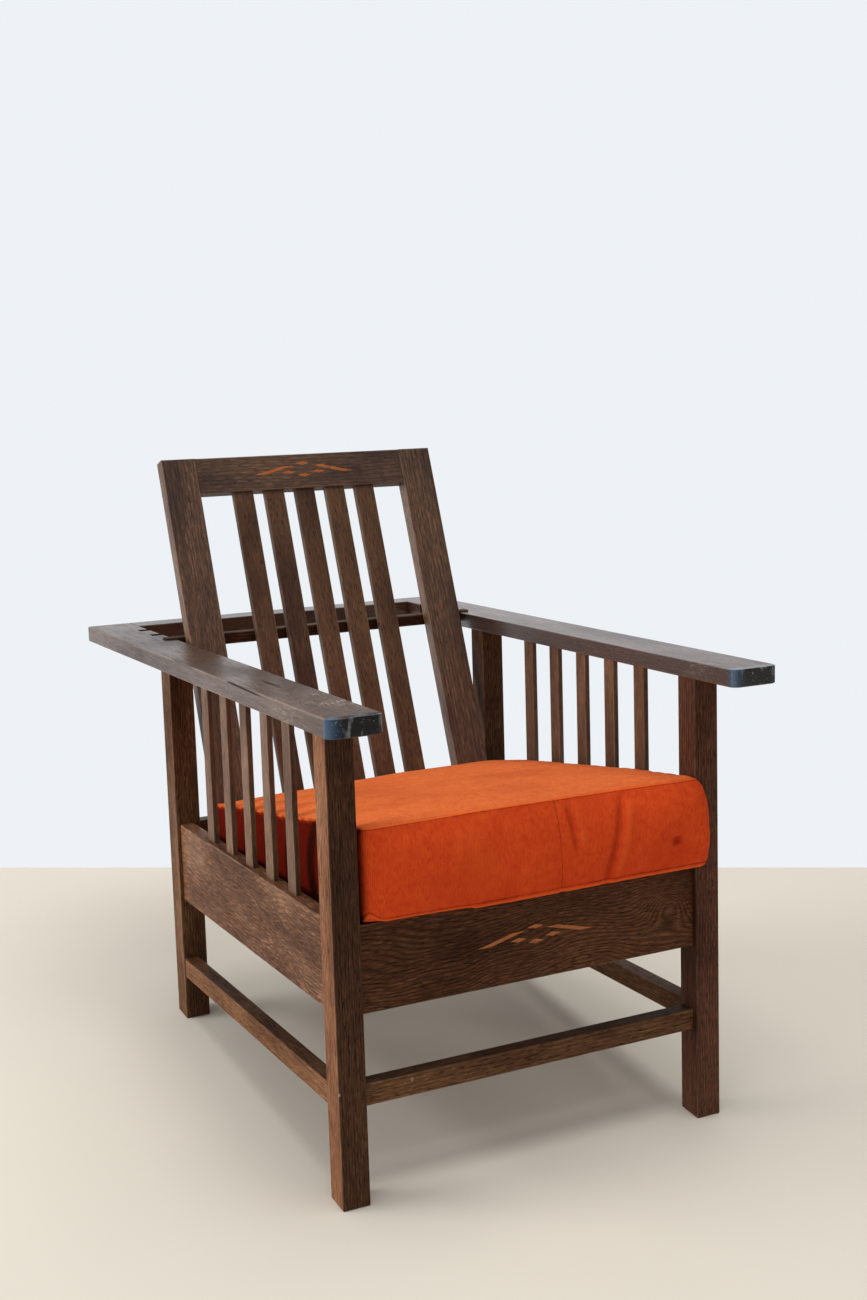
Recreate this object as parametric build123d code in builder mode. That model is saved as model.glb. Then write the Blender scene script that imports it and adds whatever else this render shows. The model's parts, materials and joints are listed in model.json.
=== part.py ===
from build123d import *
from math import cos, radians, sin, tan
import os

os.makedirs("parts", exist_ok=True)

# Reclining armchair in the mission manner, in millimetres and degrees.
# The joinery is square in itself and leans back on rear legs that are cut shorter, so the
# pieces are drawn in the frame's own axes: across the chair, along its depth from the face
# of the front legs, and up the legs from their toe. The floor is the world's level plane.
# Left is the side at the left hand of someone who looks at the front of the chair.

# Frame
frame_tilt = 5.83
frame_width = 580
frame_depth = 630
leg_side = 38
foot_chamfer = 1.2
edge_radius = 1.5
leg_tenon_side = 20
leg_tenon_height = 12

# Joinery: stub tenons in mortises, with a glue line all round
tenon_thickness = 10
tenon_web = 3.2
rail_shoulder = 12
stretcher_shoulder = 5
joint_gap = 0.1
overrun = 2

# Rails and stretchers
rail_thickness = 22
rail_top = 371
rail_height = 119
side_rail_recess = 5.8
apron_recess = 8
apron_lip = 3
rear_rail_recess = 8
stretcher_under = 128
stretcher_height = 30
side_stretcher_recess = 2
front_stretcher_recess = 9

# Arms, with the board that joins them behind the back
arm_under = 623
arm_thickness = 24
arm_width = 73
arm_lip = 2
arm_front_overhang = 90
arm_rear_overhang = 284
arm_front_radius = 13
arm_rear_radius = 5
rear_board_width = 50

# Slats under the arms
side_slat_count = 5
side_slat_pitch = 78
side_slat_width = 26
side_slat_thickness = 8
slat_edge_radius = 1
slat_housing = 7

# Back frame, hung on two pins between the side rails
back_lean = 19.63
back_side_gap = 13
back_thickness = 23
back_above_pivot = 655.7
back_below_pivot = 26
stile_width = 57
top_rail_height = 58
bottom_rail_drop = 20
bottom_rail_height = 50
tenon_pin_web = 7
back_slat_count = 5
back_slat_pitch = 53.5
back_slat_width = 34
back_slat_thickness = 10
back_slat_recess = 4
pivot_from_rear = 100.5
pivot_drop = 69
pin_diameter = 10
pin_in_rail = 15
pin_in_stile = 28
spacer_inset = 1.5
running_gap = 0.3
pin_play = 0.08
back_travel = 4

# Loose bar that the back leans on, and the notches that it drops into
bar_side = 18
bar_proud = 3
bar_end_gap = 1
bar_rest_gap = 0.3
notch_reach = 18
notch_play = 0.25
notch_count = 3
notch_pitch = 65

# Seat: sloping cleats, slats and a boxed cushion
seat_slope = 8.4
deck_drop = 5.5
seat_slat_count = 6
seat_slat_thickness = 12
seat_slat_space = 20
seat_slat_end_gap = 1
deck_leg_gap = 6
deck_back_gap = 12
cleat_side = 20
cushion_side_gap = 3
cushion_thickness = 125
cushion_crown = 9
cushion_side_swell = 6
cushion_overhang = 10
cushion_end_draw = 7
cushion_corner = 16
cushion_gap = 0.3
cushion_back_gap = 2

# Inlay: two raised wings and four lozenges in paler wood
inlay_depth = 1.2
inlay_offset = 2.2
wing_inner = 15.5
wing_outer = 87
wing_rise = 13
wing_cut = 19
lozenge_width = 24
lozenge_height = 6
lozenge_spread = 26
lozenge_rise = 10
lozenge_drop = 4.5
top_rail_inlay_drop = 26
apron_inlay_rise = 5

# Places that follow from the sizes
lean = radians(frame_tilt)
slope = radians(seat_slope)
back_angle = radians(back_lean)
arm_top = arm_under + arm_thickness
arm_rear = frame_depth + arm_rear_overhang
front_reach = arm_under * sin(lean) - arm_front_overhang * cos(lean)
rear_reach = arm_top * sin(lean) + arm_rear * cos(lean)
leg_inner = frame_width / 2 - leg_side
arm_spread = 2 * (leg_inner - arm_lip)
rail_under = rail_top - rail_height
deck_height = rail_top - deck_drop
apron_under = rail_under - apron_lip
pivot_depth = frame_depth - pivot_from_rear
pivot_height = rail_top - pivot_drop
back_width = arm_spread - 2 * back_side_gap
back_tenon_length = stile_width - pin_in_stile - tenon_pin_web
spacer_diameter = back_thickness - 2 * spacer_inset
leg_centre = (frame_width - leg_side) / 2
side_rail_centre = frame_width / 2 - side_rail_recess - rail_thickness / 2
side_rail_inner = side_rail_centre - rail_thickness / 2
tenon_length = side_rail_centre - tenon_thickness / 2 - leg_inner - tenon_web
side_stretcher_centre = frame_width / 2 - side_stretcher_recess - rail_thickness / 2
apron_centre = apron_recess + rail_thickness / 2
apron_back = apron_recess + rail_thickness
rear_rail_centre = frame_depth - rear_rail_recess - rail_thickness / 2
front_stretcher_centre = front_stretcher_recess + rail_thickness / 2
apron_top_front = deck_height - apron_recess * tan(slope)
apron_top_back = deck_height - apron_back * tan(slope)
rail_middle = (rail_under + rail_top) / 2
rail_tenon_height = rail_height - 2 * rail_shoulder
apron_tenon_low = apron_under + rail_shoulder
apron_tenon_high = apron_top_back - rail_shoulder
apron_middle = (apron_tenon_low + apron_tenon_high) / 2
apron_tenon_height = apron_tenon_high - apron_tenon_low
stretcher_middle = stretcher_under + stretcher_height / 2
stretcher_tenon_height = stretcher_height - 2 * stretcher_shoulder
side_span = frame_depth - 2 * leg_side
front_span = frame_width - 2 * leg_side
stile_inner = back_width / 2 - stile_width

# Where the back's rear face stands at the top of the bar, and so the first notch
bar_top = arm_top + bar_proud
notch_depth = bar_side - bar_proud
notch_width = bar_side + 2 * notch_play
back_rear_at_bar = (
    pivot_depth
    + (bar_top - pivot_height) * tan(back_angle)
    + back_thickness / 2 / cos(back_angle)
)
bar_centre = back_rear_at_bar + bar_rest_gap + bar_side / 2

frame_plane = Plane(
    origin=(0, -(front_reach + rear_reach) / 2, 0),
    x_dir=(1, 0, 0),
    z_dir=(0, sin(lean), cos(lean)),
)


def level_plane(height):
    return frame_plane.offset(height)


def side_plane(across):
    origin = frame_plane.from_local_coords((across, 0, 0))
    return Plane(origin=origin, x_dir=frame_plane.y_dir, z_dir=frame_plane.x_dir)


def front_plane(depth, height=0, angle=0):
    """Looks to the front, leaned back by the angle; drawn across and up."""
    origin = frame_plane.from_local_coords((0, depth, height))
    turn = radians(angle)
    facing = frame_plane.z_dir * sin(turn) - frame_plane.y_dir * cos(turn)
    return Plane(origin=origin, x_dir=frame_plane.x_dir, z_dir=facing)


back_plane = front_plane(pivot_depth, pivot_height, back_lean)
back_face = back_plane.offset(back_thickness / 2)
deck_origin = frame_plane.from_local_coords((0, 0, deck_height))
deck_plane = Plane(
    origin=deck_origin,
    x_dir=frame_plane.x_dir,
    z_dir=frame_plane.z_dir * cos(slope) + frame_plane.y_dir * sin(slope),
)


def back_level(height):
    """Cuts the back square to its stiles, at a height above the pivot."""
    origin = back_plane.from_local_coords((0, height, 0))
    return Plane(origin=origin, x_dir=back_plane.x_dir, z_dir=back_plane.y_dir)


def back_side(across):
    """Cuts the back lengthwise; drawn forward from its middle and up from the pivot."""
    origin = back_plane.from_local_coords((across, 0, 0))
    return Plane(origin=origin, x_dir=-back_plane.z_dir, z_dir=back_plane.x_dir)


def cut_pocket(plane, centre, width, height, depth):
    with BuildSketch(plane) as mouth:
        with Locations(centre):
            Rectangle(width + 2 * joint_gap, height + 2 * joint_gap)
    extrude(to_extrude=mouth.sketch, amount=depth, mode=Mode.SUBTRACT)


def make_tenoned(plane, centre, thickness, height, length, tenon_height, tenon_reach):
    """A straight piece with eased edges and a stub tenon at each end."""
    with BuildPart() as piece:
        with BuildSketch(plane):
            with Locations(centre):
                RectangleRounded(thickness, height, edge_radius)
        extrude(amount=length / 2, both=True)
        with BuildSketch(plane):
            with Locations(centre):
                Rectangle(tenon_thickness, tenon_height)
        extrude(amount=length / 2 + tenon_reach, both=True)
    return piece.part


def make_slat(plane, centre, width, thickness, length):
    with BuildPart() as slat:
        with BuildSketch(plane):
            with Locations(centre):
                RectangleRounded(width, thickness, slat_edge_radius)
        extrude(amount=length)
    return slat.part


def save(part, label):
    part.label = label
    export_step(part, f"parts/{label}.step")


def draw_inlay(centre):
    with Locations(centre):
        for side in (-1, 1):
            Polygon(
                (side * wing_inner, wing_rise / 2),
                (side * (wing_inner + wing_cut), wing_rise / 2),
                (side * wing_outer, -wing_rise / 2),
                (side * (wing_outer - wing_cut), -wing_rise / 2),
                align=None,
            )
        spots = [(0, lozenge_rise), (0, -lozenge_rise)]
        spots += [(-lozenge_spread, -lozenge_drop), (lozenge_spread, -lozenge_drop)]
        for across, up in spots:
            Polygon(
                (across - lozenge_width / 2, up),
                (across, up + lozenge_height / 2),
                (across + lozenge_width / 2, up),
                (across, up - lozenge_height / 2),
                align=None,
            )


# Legs, cut level with the floor
apron_joint = (apron_centre, apron_middle, apron_tenon_height)
rear_joint = (rear_rail_centre, rail_middle, rail_tenon_height)
front_stretcher_joint = (front_stretcher_centre, stretcher_middle, stretcher_tenon_height)
mortise_depth = tenon_length + joint_gap


def make_leg(side, depth, inward, cross_joints):
    spot = (side * leg_centre, depth)
    rail_face = front_plane(depth + inward * leg_side / 2)
    inner_face = side_plane(side * leg_inner)
    with BuildPart() as leg:
        with BuildSketch(level_plane(0)):
            with Locations(spot):
                RectangleRounded(leg_side, leg_side, edge_radius)
        extrude(amount=arm_under)
        with BuildSketch(level_plane(arm_under)):
            with Locations(spot):
                Rectangle(leg_tenon_side, leg_tenon_side)
        extrude(amount=leg_tenon_height)
        split(bisect_by=Plane.XY, keep=Keep.TOP)
        chamfer(leg.edges().group_by(Axis.Z)[0], foot_chamfer)
        cut_pocket(
            rail_face,
            (side * side_rail_centre, rail_middle),
            tenon_thickness,
            rail_tenon_height,
            inward * mortise_depth,
        )
        cut_pocket(
            rail_face,
            (side * side_stretcher_centre, stretcher_middle),
            tenon_thickness,
            stretcher_tenon_height,
            inward * mortise_depth,
        )
        for joint_depth, middle, height in cross_joints:
            cut_pocket(
                inner_face, (joint_depth, middle), tenon_thickness, height, side * mortise_depth
            )
    return leg.part


side_names = {-1: "left", 1: "right"}
front_leg_depth = leg_side / 2
rear_leg_depth = frame_depth - leg_side / 2
for side, name in side_names.items():
    front_leg = make_leg(side, front_leg_depth, 1, [apron_joint, front_stretcher_joint])
    save(front_leg, f"leg_front_{name}")
    save(make_leg(side, rear_leg_depth, -1, [rear_joint]), f"leg_rear_{name}")

# Side rails, with housings for the slats and a blind hole for the pivot pin
slat_depths = [
    frame_depth / 2 + (place - (side_slat_count - 1) / 2) * side_slat_pitch
    for place in range(side_slat_count)
]
for side, name in side_names.items():
    rail = make_tenoned(
        front_plane(frame_depth / 2),
        (side * side_rail_centre, rail_middle),
        rail_thickness,
        rail_height,
        side_span,
        rail_tenon_height,
        tenon_length,
    )
    with BuildPart() as side_rail:
        add(rail)
        for depth in slat_depths:
            cut_pocket(
                level_plane(rail_top),
                (side * side_rail_centre, depth),
                side_slat_thickness,
                side_slat_width,
                -slat_housing - joint_gap,
            )
        with BuildSketch(side_plane(side * side_rail_inner)):
            with Locations((pivot_depth, pivot_height)):
                Circle(pin_diameter / 2 + joint_gap)
        extrude(amount=side * (pin_in_rail + joint_gap), mode=Mode.SUBTRACT)
    save(side_rail.part, f"side_rail_{name}")

# Front apron: its top is bevelled to the slope of the seat, its face is inlaid
with BuildPart() as front_apron:
    with BuildSketch(side_plane(0)) as apron_section:
        Polygon(
            (apron_recess, apron_under),
            (apron_back, apron_under),
            (apron_back, apron_top_back),
            (apron_recess, apron_top_front),
            align=None,
        )
        fillet(apron_section.vertices(), edge_radius)
    extrude(amount=front_span / 2, both=True)
    with BuildSketch(side_plane(0)):
        with Locations((apron_centre, apron_middle)):
            Rectangle(tenon_thickness, apron_tenon_height)
    extrude(amount=front_span / 2 + tenon_length, both=True)
    with BuildSketch(front_plane(apron_recess)):
        draw_inlay((inlay_offset, apron_middle + apron_inlay_rise))
    extrude(amount=-inlay_depth, mode=Mode.SUBTRACT)
save(front_apron.part, "front_apron")

with BuildPart() as apron_inlay:
    with BuildSketch(front_plane(apron_recess)):
        draw_inlay((inlay_offset, apron_middle + apron_inlay_rise))
    extrude(amount=-inlay_depth)
save(apron_inlay.part, "apron_inlay")

# Rear rail and stretchers
rear_rail = make_tenoned(
    side_plane(0),
    (rear_rail_centre, rail_middle),
    rail_thickness,
    rail_height,
    front_span,
    rail_tenon_height,
    tenon_length,
)
save(rear_rail, "rear_rail")
front_stretcher = make_tenoned(
    side_plane(0),
    (front_stretcher_centre, stretcher_middle),
    rail_thickness,
    stretcher_height,
    front_span,
    stretcher_tenon_height,
    tenon_length,
)
save(front_stretcher, "front_stretcher")
for side, name in side_names.items():
    stretcher = make_tenoned(
        front_plane(frame_depth / 2),
        (side * side_stretcher_centre, stretcher_middle),
        rail_thickness,
        stretcher_height,
        side_span,
        stretcher_tenon_height,
        tenon_length,
    )
    save(stretcher, f"side_stretcher_{name}")

# Arms: mortised below for the legs and slats, notched along the inner edge at the rear
rear_board_centre = arm_rear - rear_board_width / 2
rear_board_tenon = rear_board_width - 2 * rail_shoulder
arm_middle = arm_under + arm_thickness / 2
for side, name in side_names.items():
    with BuildPart() as arm:
        with BuildSketch(level_plane(arm_under)) as plan:
            arm_centre = (
                side * (arm_spread + arm_width) / 2,
                (arm_rear - arm_front_overhang) / 2,
            )
            with Locations(arm_centre):
                Rectangle(arm_width, arm_rear + arm_front_overhang)
            fillet(plan.vertices().group_by(Axis.Y)[0], arm_front_radius)
            rear_corners = plan.vertices().group_by(Axis.Y)[-1].sort_by(Axis.X)
            fillet(rear_corners[-1] if side > 0 else rear_corners[0], arm_rear_radius)
        extrude(amount=arm_thickness)
        outer_edges = arm.edges().filter_by(
            lambda edge: (edge @ 0.5).X * side > arm_spread / 2 + joint_gap
            and abs((edge % 0.5).dot(frame_plane.z_dir)) < sin(lean)
        )
        fillet(outer_edges, edge_radius)
        for place in range(notch_count):
            with BuildSketch(level_plane(arm_top)):
                notch_centre = (
                    side * (arm_spread / 2 + (notch_reach - overrun) / 2),
                    bar_centre + place * notch_pitch,
                )
                with Locations(notch_centre):
                    Rectangle(notch_reach + overrun, notch_width)
            extrude(amount=-notch_depth, mode=Mode.SUBTRACT)
        for depth in (front_leg_depth, rear_leg_depth):
            cut_pocket(
                level_plane(arm_under),
                (side * leg_centre, depth),
                leg_tenon_side,
                leg_tenon_side,
                leg_tenon_height + joint_gap,
            )
        for depth in slat_depths:
            cut_pocket(
                level_plane(arm_under),
                (side * side_rail_centre, depth),
                side_slat_thickness,
                side_slat_width,
                slat_housing + joint_gap,
            )
        cut_pocket(
            side_plane(side * arm_spread / 2),
            (rear_board_centre, arm_middle),
            rear_board_tenon,
            tenon_thickness,
            side * mortise_depth,
        )
    save(arm.part, f"arm_{name}")

with BuildPart() as rear_board:
    with BuildSketch(side_plane(0)):
        with Locations((rear_board_centre, arm_middle)):
            RectangleRounded(rear_board_width, arm_thickness, edge_radius)
    extrude(amount=arm_spread / 2, both=True)
    with BuildSketch(side_plane(0)):
        with Locations((rear_board_centre, arm_middle)):
            Rectangle(rear_board_tenon, tenon_thickness)
    extrude(amount=arm_spread / 2 + tenon_length, both=True)
save(rear_board.part, "arm_rear_board")

# Slats between the side rails and the arms
for side, name in side_names.items():
    for place, depth in enumerate(slat_depths):
        slat = make_slat(
            level_plane(rail_top - slat_housing),
            (side * side_rail_centre, depth),
            side_slat_thickness,
            side_slat_width,
            arm_under - rail_top + 2 * slat_housing,
        )
        save(slat, f"side_slat_{name}_{place + 1}")

# Back frame: stiles from end to end, rails tenoned between them, slats housed in the rails
top_rail_middle = back_above_pivot - top_rail_height / 2
bottom_rail_middle = bottom_rail_height / 2 - bottom_rail_drop
top_tenon_height = top_rail_height - 2 * rail_shoulder
bottom_tenon_height = bottom_rail_height - 2 * rail_shoulder
stile_middle = (back_width - stile_width) / 2
for side, name in side_names.items():
    with BuildPart() as stile:
        with BuildSketch(back_level(-back_below_pivot)):
            with Locations((side * stile_middle, 0)):
                RectangleRounded(stile_width, back_thickness, edge_radius)
        extrude(amount=back_above_pivot + back_below_pivot)
        for middle, height in (
            (top_rail_middle, top_tenon_height),
            (bottom_rail_middle, bottom_tenon_height),
        ):
            cut_pocket(
                back_side(side * stile_inner),
                (0, middle),
                tenon_thickness,
                height,
                side * (back_tenon_length + joint_gap),
            )
        with BuildSketch(back_side(side * back_width / 2)):
            Circle(pin_diameter / 2 + pin_play)
        extrude(amount=-side * (pin_in_stile + running_gap), mode=Mode.SUBTRACT)
    save(stile.part, f"back_stile_{name}")

slat_offset = back_thickness / 2 - back_slat_recess - back_slat_thickness / 2
back_slat_spots = [
    ((place - (back_slat_count - 1) / 2) * back_slat_pitch, -slat_offset)
    for place in range(back_slat_count)
]
slat_low = bottom_rail_height - bottom_rail_drop
slat_high = back_above_pivot - top_rail_height
for label, middle, height, tenon_height, edge, cut in (
    ("back_top_rail", top_rail_middle, top_rail_height, top_tenon_height, slat_high, 1),
    ("back_bottom_rail", bottom_rail_middle, bottom_rail_height, bottom_tenon_height, slat_low, -1),
):
    rail = make_tenoned(
        back_side(0),
        (0, middle),
        back_thickness,
        height,
        2 * stile_inner,
        tenon_height,
        back_tenon_length,
    )
    with BuildPart() as back_rail:
        add(rail)
        for spot in back_slat_spots:
            cut_pocket(
                back_level(edge),
                spot,
                back_slat_width,
                back_slat_thickness,
                cut * (slat_housing + joint_gap),
            )
        if label == "back_top_rail":
            with BuildSketch(back_face):
                draw_inlay((inlay_offset, back_above_pivot - top_rail_inlay_drop))
            extrude(amount=-inlay_depth, mode=Mode.SUBTRACT)
    save(back_rail.part, label)

with BuildPart() as top_rail_inlay:
    with BuildSketch(back_face):
        draw_inlay((inlay_offset, back_above_pivot - top_rail_inlay_drop))
    extrude(amount=-inlay_depth)
save(top_rail_inlay.part, "top_rail_inlay")

for place, spot in enumerate(back_slat_spots):
    slat = make_slat(
        back_level(slat_low - slat_housing),
        spot,
        back_slat_width,
        back_slat_thickness,
        slat_high - slat_low + 2 * slat_housing,
    )
    save(slat, f"back_slat_{place + 1}")

# Pivot pins in the side rails, with a collar that fills the space beside the back
for side, name in side_names.items():
    with BuildPart() as pin:
        with BuildSketch(side_plane(side * (back_width / 2 - pin_in_stile))):
            with Locations((pivot_depth, pivot_height)):
                Circle(pin_diameter / 2)
        extrude(amount=side * (side_rail_inner + pin_in_rail - back_width / 2 + pin_in_stile))
    save(pin.part, f"pivot_pin_{name}")
    with BuildPart() as spacer:
        with BuildSketch(side_plane(side * side_rail_inner)):
            with Locations((pivot_depth, pivot_height)):
                Circle(spacer_diameter / 2)
                Circle(pin_diameter / 2 + joint_gap, mode=Mode.SUBTRACT)
        extrude(amount=-side * (side_rail_inner - back_width / 2 - running_gap))
    save(spacer.part, f"pivot_spacer_{name}")

# Support bar in the front pair of notches
with BuildPart() as support_bar:
    with BuildSketch(side_plane(0)):
        with Locations((bar_centre, bar_top - bar_side / 2)):
            RectangleRounded(bar_side, bar_side, edge_radius)
    extrude(amount=arm_spread / 2 + notch_reach - bar_end_gap, both=True)
save(support_bar.part, "support_bar")

# Seat deck
deck_start = leg_side + deck_leg_gap
deck_at_back = (
    pivot_depth * cos(back_angle)
    + (deck_height - pivot_height) * sin(back_angle)
    - back_thickness / 2
) / cos(back_angle - slope)
deck_length = deck_at_back - deck_back_gap - deck_start
seat_slat_width = (deck_length + seat_slat_space) / seat_slat_count - seat_slat_space
cleat_top = -seat_slat_thickness
for side, name in side_names.items():
    side_origin = deck_plane.from_local_coords((side * side_rail_inner, 0, 0))
    cleat_plane = Plane(origin=side_origin, x_dir=deck_plane.y_dir, z_dir=deck_plane.x_dir)
    with BuildPart() as cleat:
        with BuildSketch(cleat_plane):
            with Locations((deck_start + deck_length / 2, cleat_top - cleat_side / 2)):
                Rectangle(deck_length, cleat_side)
        extrude(amount=-side * cleat_side)
    save(cleat.part, f"seat_cleat_{name}")
for place in range(seat_slat_count):
    slat_centre = deck_start + seat_slat_width / 2 + place * (seat_slat_width + seat_slat_space)
    with BuildPart() as seat_slat:
        with BuildSketch(deck_plane.offset(-seat_slat_thickness)):
            with Locations((0, slat_centre)):
                Rectangle(2 * (side_rail_inner - seat_slat_end_gap), seat_slat_width)
        extrude(amount=seat_slat_thickness)
    save(seat_slat.part, f"seat_slat_{place + 1}")

# Cushion: boxed, crowned on top, swollen at the sides and drawn in at both ends. Its rear
# follows the back where that is tipped furthest to the front.
rear_angle = radians(back_lean - back_travel)
rear_clear = back_thickness / 2 + cushion_back_gap
cushion_rear = (
    pivot_depth * cos(rear_angle)
    + (deck_height - pivot_height) * sin(rear_angle)
    - rear_clear
) / cos(rear_angle - slope)
station_shares = (0, 0.015, 0.05, 0.12, 0.28, 0.5, 0.72, 0.88, 0.95, 0.985, 1)
draw_shares = (1, 0.6, 0.25, 0.05, 0, 0, 0, 0.05, 0.25, 0.6, 1)
crown_shares = (0.3, 0.45, 0.62, 0.8, 0.95, 1, 0.95, 0.8, 0.62, 0.45, 0.3)
cushion_run = cushion_rear + cushion_overhang
with BuildPart() as seat_cushion:
    for station, draw, crown in zip(station_shares, draw_shares, crown_shares):
        angle = station * (back_lean - back_travel)
        spot = station * cushion_run - cushion_overhang
        depth = spot * cos(slope)
        height = deck_height - spot * sin(slope) + cushion_gap
        half = leg_inner - cushion_side_gap - cushion_side_swell - draw * cushion_end_draw
        high = cushion_thickness / cos(radians(angle) - slope) - draw * cushion_end_draw
        peak = high + crown * cushion_crown
        with BuildSketch(front_plane(depth, height, angle)) as section:
            with BuildLine():
                Line((-half, 0), (half, 0))
                ThreePointArc((half, 0), (half + cushion_side_swell, high / 2), (half, high))
                ThreePointArc((half, high), (0, peak), (-half, high))
                ThreePointArc((-half, high), (-half - cushion_side_swell, high / 2), (-half, 0))
            make_face()
            fillet(section.vertices(), cushion_corner)
    loft(ruled=True)
save(seat_cushion.part, "seat_cushion")
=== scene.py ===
import json
import math
import random

import bmesh
import bpy
from mathutils import Euler, Matrix, Vector, noise


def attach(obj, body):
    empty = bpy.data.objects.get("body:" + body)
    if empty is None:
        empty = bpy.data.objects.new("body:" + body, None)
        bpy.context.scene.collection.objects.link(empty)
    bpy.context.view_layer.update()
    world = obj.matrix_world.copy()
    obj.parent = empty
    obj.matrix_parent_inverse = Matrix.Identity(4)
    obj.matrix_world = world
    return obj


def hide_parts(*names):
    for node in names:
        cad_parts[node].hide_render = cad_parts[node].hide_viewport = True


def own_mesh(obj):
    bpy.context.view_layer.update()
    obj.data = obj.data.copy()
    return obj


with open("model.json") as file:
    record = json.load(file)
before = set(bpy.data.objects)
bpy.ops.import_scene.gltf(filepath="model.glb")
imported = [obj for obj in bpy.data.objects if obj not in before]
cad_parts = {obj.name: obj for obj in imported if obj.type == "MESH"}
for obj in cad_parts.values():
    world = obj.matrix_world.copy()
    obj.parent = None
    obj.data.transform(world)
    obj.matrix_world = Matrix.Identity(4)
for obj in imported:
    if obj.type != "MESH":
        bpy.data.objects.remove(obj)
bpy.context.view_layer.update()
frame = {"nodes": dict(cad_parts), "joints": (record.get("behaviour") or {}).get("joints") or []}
nodes = frame["nodes"]
joints = {joint["name"]: joint for joint in frame["joints"]}

# The joinery leans back: its own up and depth directions come from the bar's way out of the notches
frameUp = Vector(joints["bar_lift"]["axis"]).normalized()
frameDepth = Vector((0, frameUp.z, -frameUp.y))
frameTilt = math.atan2(frameUp.y, frameUp.z)
frameFoot = Vector((0, -0.474371, 0))  # foot of the front legs' face, halfway between them
pivotPlace = Vector(joints["back_recline"]["pos_m"])
backLean = math.radians(19.63)  # between the back and the joinery's up direction
backHalf = 0.0115  # half the back's thickness


def fromFrame(across, deep, high):
    return frameFoot + Vector((across, 0, 0)) + frameDepth * deep + frameUp * high


def toFrame(point):
    offset = point - frameFoot
    return offset.x, offset.dot(frameDepth), offset.dot(frameUp)


def setInputs(tree, node, inputs):
    # Each input takes a link from another node or a value of its own
    for key, value in inputs.items():
        if isinstance(value, bpy.types.NodeSocket):
            tree.links.new(value, node.inputs[key])
        else:
            node.inputs[key].default_value = value


def addNode(tree, kind, inputs=None, **settings):
    node = tree.nodes.new(kind)
    for key, value in settings.items():
        setattr(node, key, value)
    setInputs(tree, node, inputs or {})
    return node


def addRamp(tree, factor, stops):
    node = addNode(tree, "ShaderNodeValToRGB", {"Fac": factor})
    for element, (place, colour) in zip(node.color_ramp.elements, stops):
        element.position = place
        element.color = (*colour, 1)
    return node.outputs["Color"]


def addMix(tree, factor, first, second, blend="MIX"):
    node = addNode(tree, "ShaderNodeMix", data_type="RGBA", blend_type=blend)
    first, second = ((*value, 1) if isinstance(value, (tuple, list)) else value for value in (first, second))
    setInputs(tree, node, {0: factor, 6: first, 7: second})
    return node.outputs[2]


def addMath(tree, operation, first, second=0.5, clamp=False):
    inputs = {0: first, 1: second}
    return addNode(tree, "ShaderNodeMath", inputs, operation=operation, use_clamp=clamp).outputs[0]


def times(tree, first, second):
    return addMath(tree, "MULTIPLY", first, second)


def greyRamp(tree, factor, low, high, start=0.0, end=1.0):
    span = {"From Min": low, "From Max": high, "To Min": start, "To Max": end}
    return addNode(tree, "ShaderNodeMapRange", {"Value": factor, **span}).outputs[0]


def addNoise(tree, vector, scale, detail=2.0, roughness=0.5):
    inputs = {"Vector": vector, "Scale": scale, "Detail": detail, "Roughness": roughness}
    return addNode(tree, "ShaderNodeTexNoise", inputs).outputs["Fac"]


def addMapping(tree, vector, **inputs):
    return addNode(tree, "ShaderNodeMapping", {"Vector": vector, **inputs}).outputs["Vector"]


def addVectorMath(tree, operation, first, second):
    return addNode(tree, "ShaderNodeVectorMath", {0: first, 1: second}, operation=operation).outputs


def addAlong(tree, vector, direction):
    # How far a point lies along a direction
    return addVectorMath(tree, "DOT_PRODUCT", vector, direction)["Value"]


def addDistance(tree, vector, place):
    return addVectorMath(tree, "DISTANCE", vector, place)["Value"]


def addBump(tree, shader, height, strength, distance):
    inputs = {"Height": height, "Strength": strength, "Distance": distance}
    setInputs(tree, shader, {"Normal": addNode(tree, "ShaderNodeBump", inputs).outputs["Normal"]})


def newMaterial(name):
    material = bpy.data.materials.new(name)
    material.use_nodes = True
    tree = material.node_tree
    coords = addNode(tree, "ShaderNodeTexCoord").outputs["Object"]
    return material, tree, tree.nodes["Principled BSDF"], coords


def setMaterial(piece, material):
    piece.data.materials.clear()
    piece.data.materials.append(material)


# Camera, at the photograph's place and angle
camera = {
    "place": (-1.0689, -2.1949, 1.1916),
    "yaw": 26.926,
    "pitch": 13.472,
    "roll": 0.845,
    "lens": 46.6,
    "sensor": 36,
    "shift": (0.0108, -0.0071),
}
cameraData = bpy.data.cameras.new("camera")
cameraData.sensor_width = camera["sensor"]
cameraData.sensor_fit = "AUTO"
cameraData.lens = camera["lens"]
cameraData.shift_x, cameraData.shift_y = camera["shift"]
cameraObject = bpy.data.objects.new("camera", cameraData)
bpy.context.scene.collection.objects.link(cameraObject)
cameraTurn = (
    Matrix.Rotation(-math.radians(camera["yaw"]), 4, "Z")
    @ Matrix.Rotation(math.radians(90 - camera["pitch"]), 4, "X")
    @ Matrix.Rotation(math.radians(camera["roll"]), 4, "Z")
)
cameraObject.matrix_world = Matrix.Translation(camera["place"]) @ cameraTurn
bpy.context.scene.camera = cameraObject
bpy.context.scene.view_settings.view_transform = "Standard"
print("camera set")

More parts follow.
